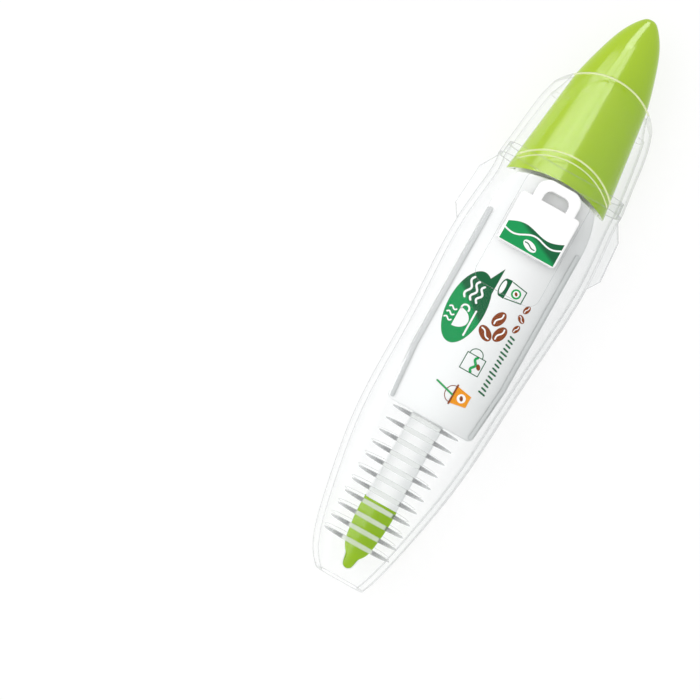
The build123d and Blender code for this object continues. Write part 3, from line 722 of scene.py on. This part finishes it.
def highlight_bead():
    """Painted highlight: a pale, partly see-through line standing for the light that the collar's clear
    edges catch.
    """
    shader = Shader("highlight_bead")
    coordinates, _ = shader.position()
    share = shader.scaled(shader.noise(coordinates, 3.0, 1.0), 0.3, 0.35)
    # Painted highlight colour, pale yellow-white, mixed with clear by a random share.
    white = shader.add("BsdfDiffuse", {"Color": colour(246, 250, 205)}).outputs[0]
    clear = shader.add("BsdfTransparent").outputs[0]
    return shader.surface(shader.mix_surface(share, clear, white))


def solid_surface(node):
    """Surface of a CAD node, for dropping points on to it."""
    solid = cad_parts[node]
    corners = [solid.matrix_world @ vertex.co for vertex in solid.data.vertices]
    return BVHTree.FromPolygons(corners, [list(face.vertices) for face in solid.data.polygons])


def collar_ring(name, surface, rear, radius, reach, wire):
    """Painted highlight bead over the collar along an arc that bulges to the rear, dropped on to a surface.
    """
    steps, above = 72, 20.0
    centres = []
    for step in range(steps + 1):
        y = reach * (2 * step / steps - 1)
        hit = surface.ray_cast(at(bulge(rear, radius, y), y, above), Vector((0, 0, -1)))[0]
        if hit:
            centres.append(hit)
    frames = []
    for index in range(len(centres)):
        before, after = centres[max(index - 1, 0)], centres[min(index + 1, len(centres) - 1)]
        along = (after - before).normalized()
        sideways = along.cross(Vector((0, 0, 1))).normalized()
        frames.append((sideways, sideways.cross(along)))
    mesh = bmesh.new()
    tube(mesh, centres, frames, wire, 8)
    new_piece(name, mesh, "case", [BEAD])


BEAD = highlight_bead()
collar = solid_surface("rear_collar")
collar_ring("rim_line", collar, rear=106.2, radius=12.6, reach=7.9, wire=0.17)
collar_ring("front_ring_line", collar, rear=88.6, radius=13.0, reach=9.7, wire=0.12)
collar_ring("rear_ring_line", collar, rear=89.7, radius=13.0, reach=9.7, wire=0.17)

# ---------------------------------------------------------------- springs

coil("return_coil", "return_spring", axis=0, wire=0.2, turns=11, body="case")
coil("release_coil", "release_spring", axis=2, wire=0.12, turns=3.5, body="carriage")

# ---------------------------------------------------------------- stage, camera and light


def lit_paper():
    """White paper on a light table, so that shadows on it stay faint; from below it isn't seen."""
    shader = Shader("lit_paper")
    coordinates, _ = shader.position()
    mottle = shader.mix_colour(shader.noise(coordinates, 2.0), (0.93, 0.93, 0.93, 1), (0.91, 0.91, 0.91, 1))
    paper = shader.add("BsdfDiffuse", {"Color": mottle}).outputs[0]
    glow = shader.add("Emission", {"Color": (1, 1, 1, 1), "Strength": WHITE_SEEN}).outputs[0]
    above = shader.mix_surface(0.75, paper, glow)
    below = shader.add("BsdfTransparent").outputs[0]
    return shader.surface(shader.mix_surface(shader.add("NewGeometry").outputs["Backfacing"], above, below))


def floor():
    """Pale floor just under the pen."""
    gap = 0.02
    mesh_data = bmesh.new()
    bmesh.ops.create_grid(mesh_data, x_segments=1, y_segments=1, size=2.0)
    mesh = bpy.data.meshes.new("floor")
    mesh_data.to_mesh(mesh)
    mesh_data.free()
    mesh.materials.append(lit_paper())
    ground = add_to_scene("floor", mesh)
    ground.location.z = FLOOR_Z - gap * MM


def stand(thing, place, right, up, back):
    """Put a camera or a light in place, turned so that its own axes lie along right, up and back."""
    turn = Matrix((right, up, back)).transposed()
    thing.matrix_world = Matrix.Translation(place) @ turn.to_4x4()


def camera():
    """Looks straight down at the printed face, through a long lens, with the pen leaning to the right."""
    lens, sensor, view_width = 150.0, 36.0, 131.25
    lean = radians(29.3)
    picture_up = Vector((cos(lean), sin(lean), 0))
    picture_right = Vector((sin(lean), -cos(lean), 0))
    aim = at(38.4, 19.15)
    data = bpy.data.cameras.new("camera")
    data.lens, data.sensor_width, data.clip_start = lens, sensor, 0.01
    viewer = add_to_scene("camera", data)
    away = Vector((0, 0, view_width * lens / sensor * MM))
    stand(viewer, aim + away, picture_right, picture_up, Vector((0, 0, 1)))
    bpy.context.scene.camera = viewer


def softbox(name, target, offset, size, power, gloss_only):
    """A rectangular light, offset in metres from its target, whose long side runs along the pen."""
    data = bpy.data.lights.new(name, "AREA")
    data.shape = "RECTANGLE"
    data.size, data.size_y = size
    data.energy = power
    light = add_to_scene(name, data)
    light.visible_camera = False
    light.visible_diffuse = not gloss_only
    back = Vector(offset).normalized()
    along = Vector((1, 0, 0))
    along = (along - back * along.dot(back)).normalized()
    stand(light, target + Vector(offset), along, back.cross(along), back)


def surroundings(strength, seen):
    """Even white light from all around, which the camera itself sees with another strength."""
    world = bpy.data.worlds.new("studio")
    world.use_nodes = True
    tree = world.node_tree
    background = tree.nodes["Background"]
    background.inputs["Color"].default_value = (1, 1, 1, 1)
    looking = tree.nodes.new("ShaderNodeLightPath").outputs["Is Camera Ray"]
    power = tree.nodes.new("ShaderNodeMapRange")
    power.inputs["To Min"].default_value = strength
    power.inputs["To Max"].default_value = seen
    tree.links.new(looking, power.inputs["Value"])
    tree.links.new(power.outputs[0], background.inputs["Strength"])
    bpy.context.scene.world = world


floor()
camera()
surroundings(0.94, WHITE_SEEN)
middle, tip = at(60, 0), at(118, 0)
softbox("key", middle, (0.05, 0.30, 0.38), (0.45, 0.2), 0.36, gloss_only=False)
softbox("near_card", middle, (0.0, 0.054, 0.36), (0.6, 0.075), 0.56, gloss_only=True)
softbox("far_card", middle, (0.0, 0.14, 0.34), (0.6, 0.09), 0.66, gloss_only=True)
softbox("side_card", middle, (0.0, 0.29, 0.3), (0.6, 0.2), 0.8, gloss_only=True)
softbox("rear_card", tip, (0.3, 0.08, 0.2), (0.3, 0.12), 0.6, gloss_only=True)
bpy.context.scene.view_settings.view_transform = "Standard"
bpy.context.scene.cycles.transparent_max_bounces = 48
